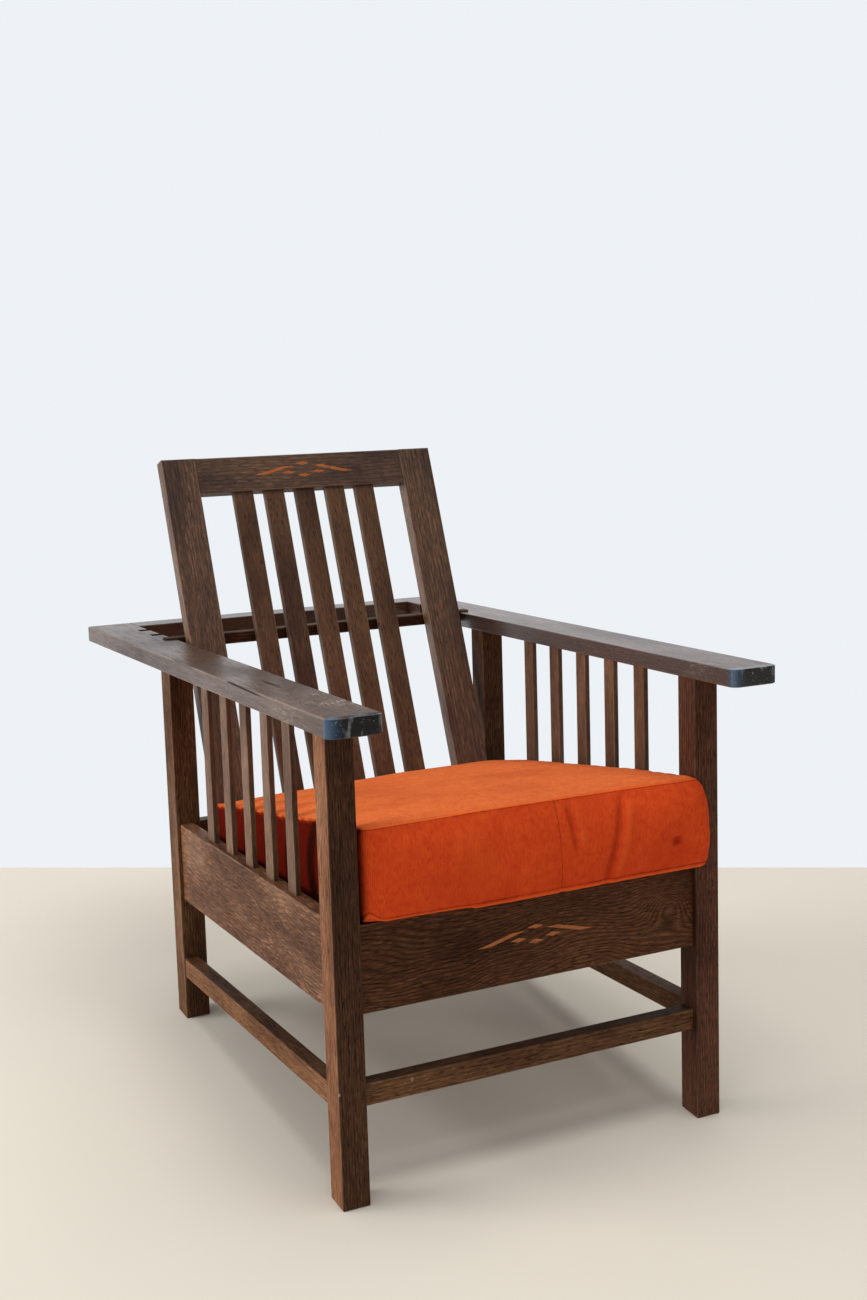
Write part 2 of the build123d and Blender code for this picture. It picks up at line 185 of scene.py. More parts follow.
# Room: a pale floor that ends where the wall stands behind the chair, and soft light.
# Each strength runs from the dim side of the room to its bright side.
room = {
    "floorColour": (0.74, 0.68, 0.58),
    "floorClouds": 0.95,
    "floorFinish": {"Roughness": 0.9, "Specular IOR Level": 0.1},
    "floorReach": 6.0,
    "wallColour": (0.85, 0.885, 0.92),
    "wallNormal": (0.41613, 0.90930, 0),
    "wallDistance": 0.6371,
    "fillColour": (0.95, 0.97, 1.0),
    "fillStrength": (0.13, 0.62),
    "glossStrength": (0.05, 1.0),
    "brightSide": (-0.84, 0.36, 0.40),
    "mirroredSide": (-0.60, 0.70, 0.40),
    "sideSpread": 0.7,
}


def makeFloor():
    wallNormal = Vector(room["wallNormal"]).normalized()
    alongWall = Vector((wallNormal.y, -wallNormal.x, 0))
    wallFoot = wallNormal * room["wallDistance"]
    reach = room["floorReach"]
    corners = [
        wallFoot - alongWall * reach,
        wallFoot + alongWall * reach,
        wallFoot + alongWall * reach - wallNormal * 2 * reach,
        wallFoot - alongWall * reach - wallNormal * 2 * reach,
    ]
    mesh = bpy.data.meshes.new("floor")
    mesh.from_pydata([tuple(corner) for corner in corners], [], [(3, 2, 1, 0)])
    floor = bpy.data.objects.new("floor", mesh)
    bpy.context.scene.collection.objects.link(floor)
    material, tree, shader, coords = newMaterial("pale_floor")
    pale = room["floorColour"]
    warm = tuple(channel * room["floorClouds"] for channel in pale)
    clouds = addMix(tree, addNoise(tree, coords, 3.0, 4.0), pale, warm)
    setInputs(tree, shader, {"Base Color": clouds, **room["floorFinish"]})
    setMaterial(floor, material)


def mixShaders(tree, factor, first, second):
    return addNode(tree, "ShaderNodeMixShader", {0: factor, 1: first, 2: second}).outputs[0]


def makeWorld():
    world = bpy.data.worlds.new("room")
    bpy.context.scene.world = world
    world.use_nodes = True
    tree = world.node_tree
    tree.nodes.clear()
    rays = addNode(tree, "ShaderNodeLightPath")
    around = addNode(tree, "ShaderNodeTexCoord").outputs["Generated"]
    spread = room["sideSpread"]
    # The room is brighter on the window side, and what polish mirrors is dimmer behind the camera
    fills = []
    for bright, colour, (low, high) in (
        (room["brightSide"], room["fillColour"], room["fillStrength"]),
        (room["mirroredSide"], room["wallColour"], room["glossStrength"]),
    ):
        side = addAlong(tree, around, Vector(bright).normalized())
        strength = addNode(
            tree,
            "ShaderNodeMapRange",
            {"Value": side, "From Min": -spread, "From Max": spread, "To Min": low, "To Max": high},
            interpolation_type="SMOOTHSTEP",
        ).outputs[0]
        fill = addNode(tree, "ShaderNodeBackground", {"Color": (*colour, 1), "Strength": strength})
        fills.append(fill.outputs[0])
    wall = addNode(tree, "ShaderNodeBackground", {"Color": (*room["wallColour"], 1), "Strength": 1.0})
    light = mixShaders(tree, rays.outputs["Is Glossy Ray"], *fills)
    straight = addMath(tree, "MAXIMUM", rays.outputs["Is Camera Ray"], rays.outputs["Is Transmission Ray"])
    addNode(tree, "ShaderNodeOutputWorld", {"Surface": mixShaders(tree, straight, light, wall.outputs[0])})


lamps = [
    {"name": "window", "place": (-9.5, 3.0, 2.2), "aim": (0, 0, 0.4), "size": 6.0, "power": 1080},
    {"name": "ceiling", "place": (0.3, -0.2, 5.2), "aim": (0, 0, 0.4), "size": 4.0, "power": 155},
]


def makeLamps():
    for lamp in lamps:
        data = bpy.data.lights.new(lamp["name"], "AREA")
        data.shape = "DISK"
        data.size = lamp["size"]
        data.energy = lamp["power"]
        light = bpy.data.objects.new(lamp["name"], data)
        # Waxed wood mirrors the room itself, so that no lamp glares on it from the far side
        light.visible_glossy = False
        bpy.context.scene.collection.objects.link(light)
        aim = Vector(lamp["aim"]) - Vector(lamp["place"])
        light.location = lamp["place"]
        light.rotation_euler = aim.to_track_quat("-Z", "Y").to_euler()


makeFloor()
makeWorld()
makeLamps()
print("room and light set")

# Dark open-pored wood with a worn wax finish; the grain runs along each piece
wood = {
    "deep": (0.007, 0.0032, 0.0022),
    "dark": (0.042, 0.0142, 0.0066),
    "brown": (0.108, 0.0435, 0.0195),
    "line": (0.300, 0.136, 0.060),
    # Paler colour of the edges: wear, and a painted highlight where they catch the light
    "worn": (0.27, 0.165, 0.10),
    "scratch": (0.34, 0.26, 0.20),
    "roughness": (0.44, 0.68),
    "armRoughness": (0.22, 0.46),
    "toneSpread": (0.92, 1.08),
    "layerSlant": (35, 55),
    "poreDarkness": 0.8,
    "poreDepth": 0.00022,
    "poreBump": 0.7,
    "edgeWidth": 0.0024,
    "edgeWearAndHighlight": (0.06, 0.55),
    "splitDarkness": 0.94,
}
# Noises that draw the wood: stretch along the grain, scale, detail and roughness
woodNoises = {
    "fibre": (0.032, 820.0, 3.0, 0.62),
    "fleck": (0.13, 460.0, 2.0, 0.55),
    "pore": (0.085, 900.0, 1.0, 0.5),
    "patch": (0.35, 13.0, 3.0, 0.55),
    "scrape": (0.05, 300.0, 4.0, 0.7),
    "cluster": (0.5, 42.0, 2.0, 0.5),
    "scuff": (0.13, 620.0, 2.0, 0.5),
    "rub": (0.3, 46.0, 4.0, 0.5),
}
grainTurns = {
    "up": (frameTilt, 0, 0),
    "deep": (frameTilt + math.pi / 2, 0, 0),
    "across": (frameTilt, -math.pi / 2, 0),
    "back": (frameTilt + backLean, 0, 0),
    "backAcross": (frameTilt + backLean, -math.pi / 2, 0),
}
# How each kind of piece was cut from the plank: gap between growth lines and how far they wander, size of
# the figure and how long it is drawn out, how strongly light lines, dark bands and flecks show
cutShapes = {
    "rift": (0.0031, 2.0, 24, 0.10, 0.16, 0.42, 0.24),
    "stile": (0.0052, 3.4, 21, 0.09, 0.30, 0.40, 0.34),
    "slat": (0.0026, 1.8, 26, 0.12, 0.06, 0.12, 0.14),
    "apron": (0.0032, 8.0, 11, 0.42, 0.26, 0.78, 0.26),
    "rail": (0.0034, 7.0, 13, 0.34, 0.30, 0.34, 0.62),
    "arm": (0.0050, 3.0, 16, 0.12, 0.14, 0.30, 0.20),
}
cutShapes["rear"] = cutShapes["polished"] = cutShapes["arm"]
cutShapes["bar"] = cutShapes["rift"]
# Tone, polish, wax coat and scratches, first as most of the wood has them and then kind by kind
plainCut = {"tone": 1.12, "tint": (1, 1, 1), "gloss": 0.12, "wax": 0.02, "waxRough": 0.24, "scratches": 0.08}
cutFinishes = {
    "rift": {"tint": (0.97, 1.05, 0.98)},
    "stile": {"tone": 1.30, "tint": (0.93, 1.05, 1.10), "gloss": 1.0, "wax": 0.12},
    "slat": {"tone": 1.52, "tint": (0.93, 1.05, 1.0), "gloss": 0.60, "wax": 0.06},
    "apron": {"tone": 1.05, "tint": (1.05, 0.95, 0.85), "gloss": 0.08},
    "rail": {"gloss": 0.28},
    "arm": {"tone": 0.80, "tint": (0.92, 1.03, 1.15), "gloss": 0.52, "wax": 0.08, "scratches": 0.60},
    "rear": {"tone": 0.85, "gloss": 1.0, "wax": 0.40},
    "polished": {"tone": 0.92, "gloss": 1.0, "wax": 0.40, "waxRough": 0.20, "scratches": 0.40},
    "bar": {"tone": 0.55},
}
cuts = {}
for cut, shape in cutShapes.items():
    cuts[cut] = dict(zip(("gap", "wander", "scale", "stretch", "lines", "bands", "flecks"), shape))
    cuts[cut].update({"roughness": wood["roughness"], **plainCut, **cutFinishes[cut]})
for cut in ("arm", "rear", "polished"):
    cuts[cut]["roughness"] = wood["armRoughness"]
pieceCuts = (
    ("leg_", "up", "rift"),
    ("side_slat", "up", "slat"),
    ("side_rail", "deep", "rail"),
    ("side_stretcher", "deep", "rift"),
    ("arm_left", "deep", "arm"),
    ("arm_right", "deep", "polished"),
    ("arm_rear", "across", "rear"),
    ("front_apron", "across", "apron"),
    ("front_stretcher", "across", "rift"),
    ("rear_rail", "across", "rail"),
    ("support_bar", "across", "bar"),
    ("back_stile", "back", "stile"),
    ("back_slat", "back", "slat"),
    ("back_top", "backAcross", "stile"),
    ("back_bottom", "backAcross", "rift"),
)
# What single pieces show of their own in the photograph: tone and tint, a knot, scuffs, splits in the wood
# and chips with their sizes. Some also get one face darkened with painted shade, where less light falls on it
ownLooks = {
    "leg_front_left": {
        "tone": 1.76,
        "tint": (1.03, 1.02, 0.98),
        "paintedShadeFace": ("front", 0.42),
        "chips": (((-0.2898, 0.0, 0.155), 0.0016), ((-0.2898, 0.0, 0.412), 0.0010)),
    },
    "leg_rear_left": {"tone": 1.22},
    "leg_front_right": {"tone": 1.0, "tint": (1.02, 0.90, 1.05), "paintedShadeFace": ("left", 0.62)},
    "side_stretcher_left": {"tone": 1.85, "paintedShadeFace": ("top", 0.55)},
    "front_stretcher": {
        "tone": 1.45,
        "paintedShadeFace": ("top", 0.36),
        "chips": (((-0.194, 0.008, 0.1468), 0.0018), ((-0.184, 0.008, 0.1493), 0.0026)),
    },
    "side_rail_left": {"tone": 1.12, "knot": {"place": (-0.284, 0.160, 0.290), "reach": 0.045, "rings": 6.0}},
    "front_apron": {"knot": {"place": (0.216, 0.008, 0.320), "reach": 0.040, "rings": 9.0}},
    "arm_left": {
        "scuffs": {"place": (-0.2660, 0.040, 0.647), "reach": 0.085, "strength": 0.95},
        "splits": (
            {"from": (-0.3225, 0.252, 0.6468), "to": (-0.3232, 0.100, 0.6440), "wobble": 0.001, "width": 0.0021},
            {"from": (-0.2850, 0.225, 0.6470), "to": (-0.2810, 0.135, 0.6470), "wobble": 0.006, "width": 0.0040},
        ),
    },
    "arm_right": {
        "tint": (1.08, 0.92, 0.95),
        "paintedShadeFace": ("left", 0.42),
        "scuffs": {"place": (0.2700, -0.010, 0.647), "reach": 0.050, "strength": 0.50},
        "chips": (((0.2488, -0.0145, 0.647), 0.0018),),
    },
}
outwards = {"top": frameUp, "front": -frameDepth, "left": Vector((-1, 0, 0))}
# Black lacquer on the arms' front ends
lacquer = {
    "black": (0.0015, 0.0015, 0.002),
    "scraped": (0.17, 0.18, 0.20),
    "reflectionBlue": (0.018, 0.052, 0.105),
    "speck": (0.22, 0.22, 0.23),
    "start": (-0.0745, -0.0775),
    "wobble": 0.006,
    "reflectionReach": (0.020, 0.007),
    "reflectionAmount": 0.9,
    "smoothness": 0.30,
}


def stretched(grain, amount):
    return addMapping(grain["tree"], grain["turned"], Location=grain["shift"], Scale=(1, 1, amount))


def grainNoise(grain, name):
    stretch, scale, detail, roughness = woodNoises[name]
    return addNoise(grain["tree"], stretched(grain, stretch), scale, detail, roughness)


def grainExtent(node, turn):
    # Middle and half sizes of a piece along its own grain directions
    spin = Euler(turn).to_matrix()
    spots = [spin @ vertex.co for vertex in node.data.vertices]
    low = [min(spot[axis] for spot in spots) for axis in range(3)]
    high = [max(spot[axis] for spot in spots) for axis in range(3)]
    return [(a + b) / 2 for a, b in zip(low, high)], [(b - a) / 2 for a, b in zip(low, high)]


def growthLines(grain, cutting, slant, knot):
    # Slanted layers that wander with a slow noise, and bend round a knot
    tree = grain["tree"]
    wander = addNoise(tree, stretched(grain, cutting["stretch"]), cutting["scale"], 2.0, 0.45)
    layer = addAlong(tree, grain["turned"], (math.cos(slant), math.sin(slant), 0.0))
    count = addMath(tree, "DIVIDE", layer, cutting["gap"])
    count = addMath(tree, "ADD", count, times(tree, wander, cutting["wander"] * 2))
    if knot:
        away = addDistance(tree, grain["coords"], fromFrame(*knot["place"]))
        near = addMath(tree, "DIVIDE", away, knot["reach"])
        bend = addMath(tree, "EXPONENT", times(tree, times(tree, near, near), -1.0))
        count = addMath(tree, "ADD", count, times(tree, bend, knot["rings"]))
    return addMath(tree, "SINE", times(tree, count, 2 * math.pi))


def woodFigure(grain, cutting, colours, ring, marks):
    tree = grain["tree"]
    fibre, fleck, pitted, patches = marks
    dark, brown, line = colours
    base = addMix(tree, greyRamp(tree, patches, 0.32, 0.68), dark, brown)
    # Flecks and light lines fade in the dark patches, and dark bands run beside the lines
    patchy = greyRamp(tree, patches, 0.36, 0.6, 0.35, 1.0)
    flecks = times(tree, greyRamp(tree, fleck, 0.50, 0.66, 0, cutting["flecks"]), patchy)
    base = addMix(tree, flecks, base, line)
    broken = times(tree, greyRamp(tree, fleck, 0.36, 0.60, 0.05, 1.0), patchy)
    lines = times(tree, greyRamp(tree, ring, 0.0, 0.95), broken)
    base = addMix(tree, times(tree, lines, cutting["lines"]), base, line)
    bands = times(tree, greyRamp(tree, ring, -0.25, -0.95), greyRamp(tree, fibre, 0.60, 0.36, 0.15, 1.0))
    base = addMix(tree, times(tree, bands, cutting["bands"]), base, wood["deep"])
    # Open pores and dark fibres
    darkened = addMath(tree, "MAXIMUM", pitted, greyRamp(tree, fibre, 0.46, 0.32))
    return addMix(tree, times(tree, darkened, wood["poreDarkness"]), base, wood["deep"])


def scrapedAmount(grain, cutting, scuffs):
    # Fine scrapes along the grain; an arm is scraped and scuffed most toward its front end
    tree = grain["tree"]
    amount = greyRamp(tree, grainNoise(grain, "scrape"), 0.60, 0.68, 0, cutting["scratches"])
    if not scuffs:
        return amount
    amount = times(tree, amount, greyRamp(tree, grain["depth"], 0.16, 0.0, 0.30, 1.0))
    away = addDistance(tree, grain["coords"], fromFrame(*scuffs["place"]))
    nearby = greyRamp(tree, away, scuffs["reach"], scuffs["reach"] * 0.35)
    cluster = times(tree, greyRamp(tree, grainNoise(grain, "cluster"), 0.40, 0.56), nearby)
    rubbed = greyRamp(tree, grainNoise(grain, "scuff"), 0.52, 0.60, 0, scuffs["strength"])
    return addMath(tree, "MAXIMUM", amount, times(tree, rubbed, cluster))


def edgeWearAndHighlight(grain, node, turn, rub):
    # Distance in from the nearest long or short edge, for edges worn paler in places and given a painted
    # highlight
    tree = grain["tree"]
    middle, half = grainExtent(node, turn)
    local = addVectorMath(tree, "SUBTRACT", grain["turned"], middle)["Vector"]
    parts = addNode(tree, "ShaderNodeSeparateXYZ", {"Vector": local}).outputs
    insets = [
        addMath(tree, "SUBTRACT", half[axis], addMath(tree, "ABSOLUTE", parts[axis])) for axis in range(3)
    ]
    rims = [addMath(tree, "ADD", insets[a], insets[b]) for a, b in ((0, 1), (1, 2), (0, 2))]
    rim = addMath(tree, "MINIMUM", addMath(tree, "MINIMUM", rims[0], rims[1]), rims[2])
    edge = greyRamp(tree, rim, wood["edgeWidth"], 0.0004)
    return times(tree, edge, greyRamp(tree, rub, 0.40, 0.62, *wood["edgeWearAndHighlight"]))


def addLacquer(grain, node, base, rough, rub, edge):
    # A painted reflection of the window in blue-grey round the corner on the window side, and scraped in places
    tree, coords = grain["tree"], grain["coords"]
    wobble = times(tree, addMath(tree, "SUBTRACT", rub, 0.5), lacquer["wobble"])
    black = greyRamp(tree, addMath(tree, "ADD", grain["depth"], wobble), *lacquer["start"])
    smear = addNoise(tree, addMapping(tree, coords, Scale=(1, 1, 0.35)), 120.0, 3.0)
    across = addNode(tree, "ShaderNodeSeparateXYZ", {"Vector": coords}).outputs["X"]
    outer = min(vertex.co.x for vertex in node.data.vertices)
    # Painted reflection of the window, blue-grey round the outer corner
    corner = greyRamp(tree, across, *(outer + reach for reach in lacquer["reflectionReach"]))
    colour = addMix(tree, greyRamp(tree, smear, 0.56, 0.72), lacquer["black"], lacquer["scraped"])
    colour = addMix(tree, times(tree, corner, lacquer["reflectionAmount"]), colour, lacquer["reflectionBlue"])
    colour = addMix(tree, greyRamp(tree, addNoise(tree, coords, 330.0), 0.66, 0.74), colour, lacquer["speck"])
    black = times(tree, black, greyRamp(tree, edge, 0.1, 0.6, 1.0, 0.35))
    smooth = greyRamp(tree, black, 0, 1, 1.0, lacquer["smoothness"])
    return addMix(tree, black, base, colour), times(tree, rough, smooth)


def paintFaceShade(grain, node, base, facing, share):
    # Painted shade: the piece's face that looks one way is darkened by a share, where less light falls on it
    tree, outward = grain["tree"], outwards[facing]
    limit = max(vertex.co.dot(outward) for vertex in node.data.vertices)
    onFace = greyRamp(tree, addAlong(tree, grain["coords"], outward), limit - 0.0016, limit - 0.0005)
    return addMix(tree, onFace, base, addMix(tree, 1.0, base, (share, share, share), "MULTIPLY"))


def addSplit(grain, rub, base, split):
    # A dark split that wanders along the grain between two places on the surface
    tree = grain["tree"]
    first, last = (fromFrame(*split[end]) for end in ("from", "to"))
    run = (last - first).normalized()
    aside = frameUp.cross(run).normalized()
    along, beside, above = (
        addMath(tree, "SUBTRACT", addAlong(tree, grain["coords"], direction), first.dot(direction))
        for direction in (run, aside, run.cross(aside))
    )
    wobble = times(tree, addMath(tree, "SUBTRACT", rub, 0.5), split["wobble"])
    beside = addMath(tree, "ADD", beside, wobble)
    squares = addMath(tree, "ADD", times(tree, beside, beside), times(tree, above, above))
    away = addMath(tree, "SQRT", squares)
    length = (last - first).length
    ends = times(tree, greyRamp(tree, along, 0, 0.02), greyRamp(tree, along, length, length - 0.04))
    amount = times(tree, greyRamp(tree, away, split["width"], split["width"] * 0.3), ends)
    return amount, addMix(tree, times(tree, amount, wood["splitDarkness"]), base, wood["deep"])


def darkWood(name, node, direction, cut, seed):
    picker = random.Random(seed)
    cutting, own = cuts[cut], ownLooks.get(name, {})
    material, tree, shader, coords = newMaterial("wood_" + name)
    turn = grainTurns[direction]
    grain = {
        "tree": tree,
        "coords": coords,
        "turned": addMapping(tree, coords, Rotation=turn),
        "shift": tuple(picker.uniform(-3, 3) for _ in range(3)),
        "depth": addMath(tree, "SUBTRACT", addAlong(tree, coords, frameDepth), frameFoot.dot(frameDepth)),
    }
    slant = math.radians(picker.uniform(*wood["layerSlant"]))
    tone = cutting["tone"] * own.get("tone", picker.uniform(*wood["toneSpread"]))
    colours = [
        [channel * tone * share for channel, share in zip(wood[key], own.get("tint", cutting["tint"]))]
        for key in ("dark", "brown", "line")
    ]
    ring = growthLines(grain, cutting, slant, own.get("knot"))
    fibre, fleck, pores, patches, rub = (
        grainNoise(grain, kind) for kind in ("fibre", "fleck", "pore", "patch", "rub")
    )
    pitted = greyRamp(tree, pores, 0.58, 0.66)
    base = woodFigure(grain, cutting, colours, ring, (fibre, fleck, pitted, patches))
    scraped = scrapedAmount(grain, cutting, own.get("scuffs"))
    base = addMix(tree, scraped, base, wood["scratch"])
    # Pale edges: real wear, and a painted highlight along the rounded edges
    edge = edgeWearAndHighlight(grain, node, turn, rub)
    base = addMix(tree, edge, base, wood["worn"])
    smooth, dull = cutting["roughness"]
    rough = greyRamp(tree, fibre, 0.3, 0.7, dull, smooth)
    rough = times(tree, rough, greyRamp(tree, patches, 0.36, 0.64, 1.25, 0.85))
    rough = addMath(tree, "ADD", rough, times(tree, scraped, 0.4), True)
    if "scuffs" in own:
        base, rough = addLacquer(grain, node, base, rough, rub, edge)
    # Painted shade on one face of the piece
    if "paintedShadeFace" in own:
        base = paintFaceShade(grain, node, base, *own["paintedShadeFace"])
    for split in own.get("splits", ()):
        amount, base = addSplit(grain, rub, base, split)
        rough = addMath(tree, "MAXIMUM", rough, amount)
    for place, reach in own.get("chips", ()):
        away = addDistance(tree, coords, fromFrame(*place))
        near = addMath(tree, "ADD", away, times(tree, fleck, 0.006))
        chipped = greyRamp(tree, near, reach + 0.0032, reach + 0.0020, 0, 0.8)
        base = addMix(tree, chipped, base, wood["scratch"])
    setInputs(tree, shader, {"Base Color": base, "Roughness": rough, "Specular IOR Level": cutting["gloss"]})
    setInputs(tree, shader, {"Coat Weight": cutting["wax"], "Coat Roughness": cutting["waxRough"]})
    height = addMath(tree, "SUBTRACT", fibre, times(tree, pitted, 0.6))
    addBump(tree, shader, height, wood["poreBump"], wood["poreDepth"])
    return material


for index, (name, node) in enumerate(sorted(nodes.items())):
    for start, direction, cut in pieceCuts:
        if name.startswith(start):
            setMaterial(node, darkWood(name, node, direction, cut, index))
print("dark wood set")

# Seat deck, seen only from below: plain brown boards, dull and unwaxed
deck = {
    "fibres": ((0.3, (0.085, 0.046, 0.027)), (0.7, (0.24, 0.145, 0.085))),
    "stain": (0.13, 0.075, 0.043),
    "stainAmount": 0.5,
    "finish": {"Roughness": 0.72},
    "grain": {"seat_slat": "across", "seat_cleat": "deep"},
}


def deckWood(name, direction, seed):
    picker = random.Random(seed)
    material, tree, shader, coords = newMaterial(name)
    turned = addMapping(tree, coords, Rotation=grainTurns[direction])
    shift = tuple(picker.uniform(-3, 3) for _ in range(3))
    drawn = addMapping(tree, turned, Location=shift, Scale=(1, 1, 0.05))
    fibre = addNoise(tree, drawn, 420.0, 4.0)
    broad = addNoise(tree, drawn, 60.0)
    stained = greyRamp(tree, broad, 0.4, 0.65, 0, deck["stainAmount"])
    base = addMix(tree, stained, addRamp(tree, fibre, deck["fibres"]), deck["stain"])
    setInputs(tree, shader, {"Base Color": base, **deck["finish"]})
    addBump(tree, shader, fibre, 0.6, 0.0002)
    return material


for index, (name, node) in enumerate(sorted(nodes.items())):
    for start, direction in deck["grain"].items():
        if name.startswith(start):
            setMaterial(node, deckWood("deck_" + name, direction, index))

# Pivot hardware: worn steel pins and dark nylon spacers
hardware = {
    "steel": (0.42, 0.41, 0.39),
    "steelStain": (0.22, 0.17, 0.12),
    "nylon": (0.020, 0.019, 0.018),
    "nylonGrime": (0.048, 0.044, 0.039),
}


def pinSteel():
    material, tree, shader, coords = newMaterial("pin_steel")
    scratch = addNoise(tree, addMapping(tree, coords, Scale=(1, 0.1, 0.1)), 2600.0, 3.0)
    stained = greyRamp(tree, addNoise(tree, coords, 160.0, 3.0), 0.45, 0.7, 0, 0.6)
    base = addMix(tree, stained, hardware["steel"], hardware["steelStain"])
    rough = greyRamp(tree, scratch, 0.3, 0.7, 0.28, 0.5)
    setInputs(tree, shader, {"Base Color": base, "Roughness": rough, "Metallic": 1.0})
    addBump(tree, shader, scratch, 0.3, 0.00005)
    return material


def spacerNylon():
    material, tree, shader, coords = newMaterial("spacer_nylon")
    grime = addNoise(tree, coords, 210.0, 4.0)
    base = addMix(tree, greyRamp(tree, grime, 0.35, 0.7), hardware["nylon"], hardware["nylonGrime"])
    rough = greyRamp(tree, grime, 0.3, 0.7, 0.38, 0.55)
    setInputs(tree, shader, {"Base Color": base, "Roughness": rough})
    addBump(tree, shader, grime, 0.25, 0.0001)
    return material


for start, material in (("pivot_pin", pinSteel()), ("pivot_spacer", spacerNylon())):
    for name, node in nodes.items():
        if name.startswith(start):
            setMaterial(node, material)
print("deck and pivot hardware set")

# Inlay let into the apron and the top rail: orange-brown veneer with dirt in it
inlay = {
    "fibres": ((0.3, (0.33, 0.088, 0.023)), (0.7, (0.53, 0.170, 0.046))),
    "dirt": (0.14, 0.040, 0.016),
    "dirtAmount": 0.5,
    "roughness": (0.5, 0.36),
    "finish": {"Specular IOR Level": 0.25, "Coat Weight": 0.05, "Coat Roughness": 0.3},
    "pieces": ("apron_inlay", "top_rail_inlay"),
}


def inlayWood():
    material, tree, shader, coords = newMaterial("inlay_wood")
    fibre = addNoise(tree, addMapping(tree, coords, Scale=(0.08, 1, 1)), 900.0, 3.0)
    dirty = greyRamp(tree, addNoise(tree, coords, 120.0, 4.0), 0.52, 0.74, 0, inlay["dirtAmount"])
    base = addMix(tree, dirty, addRamp(tree, fibre, inlay["fibres"]), inlay["dirt"])
    rough = greyRamp(tree, fibre, 0.3, 0.7, *inlay["roughness"])
    setInputs(tree, shader, {"Base Color": base, "Roughness": rough, **inlay["finish"]})
    return material


inlayMaterial = inlayWood()
for name in inlay["pieces"]:
    setMaterial(nodes[name], inlayMaterial)
print("inlay set")

# Seat cushion: a boxed foam block in rust velvet. Lengths are metres in the joinery's own directions,
# deep from the front legs' face, high from its foot.
cushion = {
    "leftTop": ((-0.005, 0.4915), (0.141, 0.471), (0.272, 0.450), (0.426, 0.430), (0.556, 0.4055)),
    "rightTop": ((-0.012, 0.4950), (0.107, 0.4815), (0.237, 0.4640), (0.443, 0.4355), (0.556, 0.4145)),
    "frontLeft": -0.0045,
    "frontRight": -0.013,
    "halfWidth": 0.2495,
    "length": 0.55,
    "height": 0.125,
    "deckHigh": 0.3655,
    "deckSlope": 0.1477,
    "restGap": 0.0006,
    "backGap": 0.001,
    "crown": 0.005,
    # How far the block starts inside the finished cushion
    "inset": 0.004,
    "backInset": 0.002,
    "topInset": 0.002,
    "rearInset": 0.003,
    "uprightCorner": 0.017,
    "bulgeCorner": 0.006,
    "cell": 0.006,
    "voxel": 0.0062,
    # The cloth that puffs it: pressure inside, frames, and how firmly its edges are held
    "pressure": 4.0,
    "frames": 20,
    "quality": 6,
    "mass": 0.25,
    "stretchStiffness": 12,
    "shearStiffness": 5,
    "bendStiffness": 0.4,
    "edgeHold": 0.85,
    "edgeReach": 0.030,
    "cap": 0.024,
    "swell": {"top": 0.0075, "front": 0.010, "side": 0.0075, "rear": 0.003},
    # Sag, bulge in front of the right leg, and the left corner that is drawn up
    "rightGrow": 0.005,
    "rightPush": 0.008,
    "bulge": 0.023,
    "ear": 0.004,
    "hang": (0.0036, 0.0022),
    "drawnUp": 0.027,
    "farSeam": 0.06,
    "frontSeam": ((0.0276, 0.4875), (0.0369, 0.367)),
    "frontSeamDepth": 0.0016,
    "seams": {
        "topSeam": {"lip": (0.0011, 0.0026), "channel": (0.0007, 0.0030), "gather": (0.0009, 0.011)},
        "bottomSeam": {"lip": (0.0013, 0.0030), "channel": (0.0015, 0.0028), "gather": (0.0011, 0.013)},
    },
    "channelPlace": 0.0055,
    # First and last place on the front, width and depth
    "wrinkles": (
        ((0.0440, 0.478), (0.0560, 0.4150), 0.0045, -0.0036),
        ((0.0550, 0.476), (0.0660, 0.4150), 0.0060, 0.0030),
        ((0.1230, 0.474), (0.1040, 0.370), 0.0060, -0.0042),
        ((0.1350, 0.474), (0.1170, 0.374), 0.0070, 0.0034),
        ((0.2060, 0.418), (0.2070, 0.406), 0.0070, -0.0050),
        ((-0.1100, 0.470), (-0.0700, 0.380), 0.0300, 0.0020),
    ),
    "waves": (0.0022, 0.0007),
    # Room between the legs, between the side slats behind them, and in front of the legs
    "legHalf": 0.2505,
    "bodyHalf": 0.2575,
    "legRear": 0.043,
    "frontRoom": 0.020,
    "softLimit": 0.003,
}
pivotDeep, pivotHigh = toFrame(pivotPlace)[1:]


def softStep(value):
    value = min(1.0, max(0.0, value))
    return value * value * (3 - 2 * value)


def hump(distance, width):
    return math.exp(-((distance / width) ** 2))


def alongLine(points, place):
    for (firstPlace, firstValue), (lastPlace, lastValue) in zip(points, points[1:]):
        if place <= lastPlace:
            break
    share = (place - firstPlace) / (lastPlace - firstPlace)
    return firstValue + share * (lastValue - firstValue)


def backFace(high):
    return pivotDeep + (high - pivotHigh) * math.tan(backLean) - backHalf / math.cos(backLean)


def cushionFront(across):
    share = 0.5 + across / (2 * cushion["halfWidth"])
    return cushion["frontLeft"] + share * (cushion["frontRight"] - cushion["frontLeft"])


def cushionTop(across, deep):
    share = 0.5 + across / (2 * cushion["halfWidth"])
    left, right = alongLine(cushion["leftTop"], deep), alongLine(cushion["rightTop"], deep)
    return left + share * (right - left)


def cushionDeck(deep):
    return cushion["deckHigh"] + cushion["restGap"] - cushion["deckSlope"] * deep


def cornerRadius(across, front, rear):
    # The right front corner stays sharper, because it bulges out past the leg
    return cushion["bulgeCorner" if across > 0 and front < rear else "uprightCorner"]


def roundPlan(across, deep, high):
    # Rounds the block's upright corners
    side = cushion["halfWidth"] - cushion["inset"] - abs(across)
    front = deep - cushionFront(across) - cushion["inset"]
    rear = backFace(high) - cushion["rearInset"] - deep
    radius = cornerRadius(across, front, rear)
    near, sign = (front, -1) if front < rear else (rear, 1)
    if side >= radius or near >= radius:
        return across, deep
    outward = (radius - side, radius - near)
    pull = 1 - max(outward) / math.hypot(*outward)
    return across - math.copysign(outward[0] * pull, across), deep - sign * outward[1] * pull


